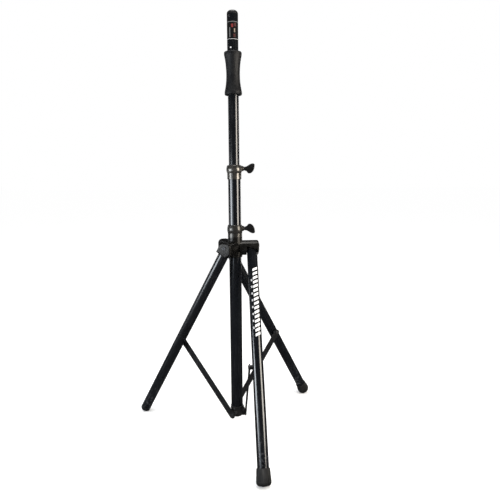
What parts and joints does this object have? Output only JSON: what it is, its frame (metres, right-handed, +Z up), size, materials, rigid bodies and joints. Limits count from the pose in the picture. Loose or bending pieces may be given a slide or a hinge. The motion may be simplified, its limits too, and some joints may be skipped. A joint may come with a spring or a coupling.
{
  "type": "speaker tripod stand",
  "caption": "Folding tripod speaker stand: telescoping pole with wing-knob clamps, sliding hub with offset legs, flat braces and a waisted hand grip.",
  "frame": {"origin": "on the column's axis at floor level, midway between the feet's tangent circles", "axes": "+Z up along the column and pole; +X towards the wing knobs; the front leg points along -Y"},
  "size_m": [0.6677, 0.6351, 1.3824],
  "materials": {
    "black_tube": "gloss",
    "hub_casting": "satin",
    "collar_casting": "satin",
    "bracket_casting": "satin",
    "knob_plastic": "satin",
    "grip_rubber": "matte",
    "boot_rubber": "matte",
    "plug_plastic": "satin",
    "nylon": "satin",
    "zinc_steel": "satin",
    "brace_steel": "satin",
    "rod_steel": "satin"
  },
  "bodies": {
    "column": {"main_tube": "black_tube", "tube_end_plug": "plug_plastic", "bottom_bracket": "bracket_casting", "brace_pivot_pins": "zinc_steel", "bracket_rivets": "zinc_steel", "upper_collar": "collar_casting", "upper_bushing": "nylon"},
    "upper_clamp_pad": {"upper_pad": "nylon"},
    "upper_clamp_knob": {"upper_knob": "knob_plastic", "upper_knob_stud": "zinc_steel"},
    "pole": {"inner_tube": "black_tube", "hand_grip": "grip_rubber", "grip_core": "plug_plastic", "thrust_washer": "plug_plastic", "lock_collet": "nylon"},
    "pole_top": {"pole_stub": "black_tube", "stub_cap": "plug_plastic", "stub_rivets": "zinc_steel", "stub_journal": "nylon", "lock_rod": "rod_steel", "lock_cam": "rod_steel"},
    "hub": {"hub_casting": "hub_casting", "hub_liner": "nylon", "leg_pivot_bolts": "zinc_steel"},
    "lower_clamp_pad": {"lower_pad": "nylon"},
    "lower_clamp_knob": {"lower_knob": "knob_plastic", "lower_knob_stud": "zinc_steel"},
    "front_leg": {"front_leg_tube": "black_tube", "front_leg_knuckle": "plug_plastic", "front_leg_brace_boss": "plug_plastic", "front_foot_boot": "boot_rubber"},
    "front_brace_arm": {"front_brace": "brace_steel", "front_brace_rivet": "zinc_steel", "front_brace_spacer": "plug_plastic"},
    "right_leg": {"right_leg_tube": "black_tube", "right_leg_knuckle": "plug_plastic", "right_leg_brace_boss": "plug_plastic", "right_foot_boot": "boot_rubber"},
    "right_brace_arm": {"right_brace": "brace_steel", "right_brace_rivet": "zinc_steel", "right_brace_spacer": "plug_plastic"},
    "left_leg": {"left_leg_tube": "black_tube", "left_leg_knuckle": "plug_plastic", "left_leg_brace_boss": "plug_plastic", "left_foot_plug": "plug_plastic"},
    "left_brace_arm": {"left_brace": "brace_steel", "left_brace_rivet": "zinc_steel", "left_brace_spacer": "plug_plastic"}
  },
  "joints": [
    {"name": "pole_slide", "type": "slide", "parent": "column", "child": "pole", "axis": [0, 0, 1], "range_m": [-0.217, 0.475]},
    {"name": "pole_top_twist", "type": "hinge", "parent": "pole", "child": "pole_top", "pos_m": [0, 0, 1.2622], "axis": [0, 0, 1], "range_deg": [0, 90]},
    {"name": "upper_knob_travel", "type": "slide", "parent": "column", "child": "upper_clamp_pad", "axis": [1, 0, 0], "range_m": [0, 0.0025]},
    {"name": "upper_knob_turn", "type": "hinge", "parent": "upper_clamp_pad", "child": "upper_clamp_knob", "pos_m": [0.03, 0, 0.904], "axis": [1, 0, 0], "range_deg": [0, 720]},
    {"name": "hub_slide", "type": "slide", "parent": "column", "child": "hub", "axis": [0, 0, 1], "range_m": [0, 0.12178]},
    {"name": "lower_knob_travel", "type": "slide", "parent": "hub", "child": "lower_clamp_pad", "axis": [1, 0, 0], "range_m": [0, 0.0025]},
    {"name": "lower_knob_turn", "type": "hinge", "parent": "lower_clamp_pad", "child": "lower_clamp_knob", "pos_m": [0.03, 0, 0.7076], "axis": [1, 0, 0], "range_deg": [0, 720]},
    {"name": "front_leg_hinge", "type": "hinge", "parent": "hub", "child": "front_leg", "pos_m": [0.056, 0, 0.6494], "axis": [1, 0, 0], "range_deg": [0, 29.84]},
    {"name": "front_brace_hinge", "type": "hinge", "parent": "column", "child": "front_brace_arm", "pos_m": [0.03, -0.0046, 0.0449], "axis": [1, 0, 0], "range_deg": [-38.85, 0]},
    {"name": "right_leg_hinge", "type": "hinge", "parent": "hub", "child": "right_leg", "pos_m": [-0.028, 0.0485, 0.6494], "axis": [-0.5, 0.866, 0], "range_deg": [0, 29.84]},
    {"name": "right_brace_hinge", "type": "hinge", "parent": "column", "child": "right_brace_arm", "pos_m": [-0.01102, 0.02828, 0.0449], "axis": [-0.5, 0.866, 0], "range_deg": [-38.85, 0]},
    {"name": "left_leg_hinge", "type": "hinge", "parent": "hub", "child": "left_leg", "pos_m": [-0.028, -0.0485, 0.6494], "axis": [-0.5, -0.866, 0], "range_deg": [0, 29.84]},
    {"name": "left_brace_hinge", "type": "hinge", "parent": "column", "child": "left_brace_arm", "pos_m": [-0.01898, -0.02368, 0.0449], "axis": [-0.5, -0.866, 0], "range_deg": [-38.85, 0]}
  ],
  "couplings": [
    {"joint": "upper_knob_turn", "follows": "upper_knob_travel", "rad_per_m": 5026.5},
    {"joint": "lower_knob_turn", "follows": "lower_knob_travel", "rad_per_m": 5026.5},
    {"joint": "front_leg_hinge", "follows": "hub_slide", "rad_per_m": 4.2765},
    {"joint": "front_brace_hinge", "follows": "hub_slide", "rad_per_m": -5.567},
    {"joint": "right_leg_hinge", "follows": "hub_slide", "rad_per_m": 4.2765},
    {"joint": "right_brace_hinge", "follows": "hub_slide", "rad_per_m": -5.567},
    {"joint": "left_leg_hinge", "follows": "hub_slide", "rad_per_m": 4.2765},
    {"joint": "left_brace_hinge", "follows": "hub_slide", "rad_per_m": -5.567}
  ]
}
